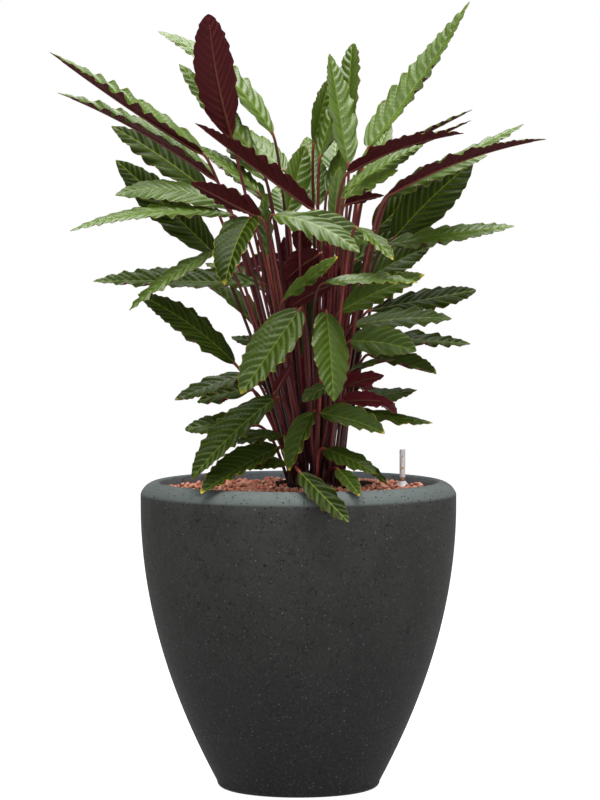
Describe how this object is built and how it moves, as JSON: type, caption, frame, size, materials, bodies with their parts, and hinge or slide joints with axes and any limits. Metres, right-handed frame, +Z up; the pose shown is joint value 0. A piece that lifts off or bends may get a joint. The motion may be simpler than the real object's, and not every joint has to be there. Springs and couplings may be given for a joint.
{
  "type": "potted wavestar calathea",
  "caption": "Prayer plant with long waved leaves, green above and maroon beneath, in a tapered stone-grey planter filled with clay granules round its root ball, with a water gauge.",
  "frame": {"origin": "centre of the planter's flat underside", "axes": "+Z up along the planter's axis, -Y towards the side that the picture shows, +X to the right in it"},
  "size_m": [0.6752, 0.5385, 1.0966],
  "materials": {
    "planter": "matte, pitted fibre-clay",
    "clay_granules": "rough fired clay",
    "soil": "dark crumbly potting soil",
    "gauge_clear": "clear glossy plastic",
    "gauge_float": "satin",
    "leaf": "waxy sheen, green above and maroon beneath"
  },
  "bodies": {
    "root": {"planter": "planter", "clay_granules": "clay_granules", "root_ball": "soil", "gauge_tube": "gauge_clear", "gauge_collar": "gauge_clear", "gauge_float": "gauge_float", "shoot_right_tall": "leaf", "shoot_right_front": "leaf", "shoot_right_foot": "leaf", "shoot_right_behind": "leaf", "shoot_right_wide": "leaf", "shoot_top_right": "leaf", "shoot_front_foot": "leaf", "shoot_front_low": "leaf", "shoot_front_right": "leaf", "shoot_heart_left": "leaf", "shoot_heart_right": "leaf", "shoot_heart_front": "leaf", "shoot_top_behind": "leaf", "shoot_left_behind": "leaf", "shoot_left_foot": "leaf", "shoot_left_wide_behind": "leaf", "shoot_left_front": "leaf", "shoot_left_tall": "leaf", "shoot_left_wide": "leaf", "shoot_left_low": "leaf", "shoot_left_front_foot": "leaf", "shoot_left_front_low": "leaf", "shoot_rim_left": "leaf", "shoot_rim_right": "leaf", "shoot_back_1": "leaf", "shoot_back_2": "leaf", "shoot_back_3": "leaf", "shoot_back_4": "leaf", "shoot_back_5": "leaf"}
  },
  "joints": []
}
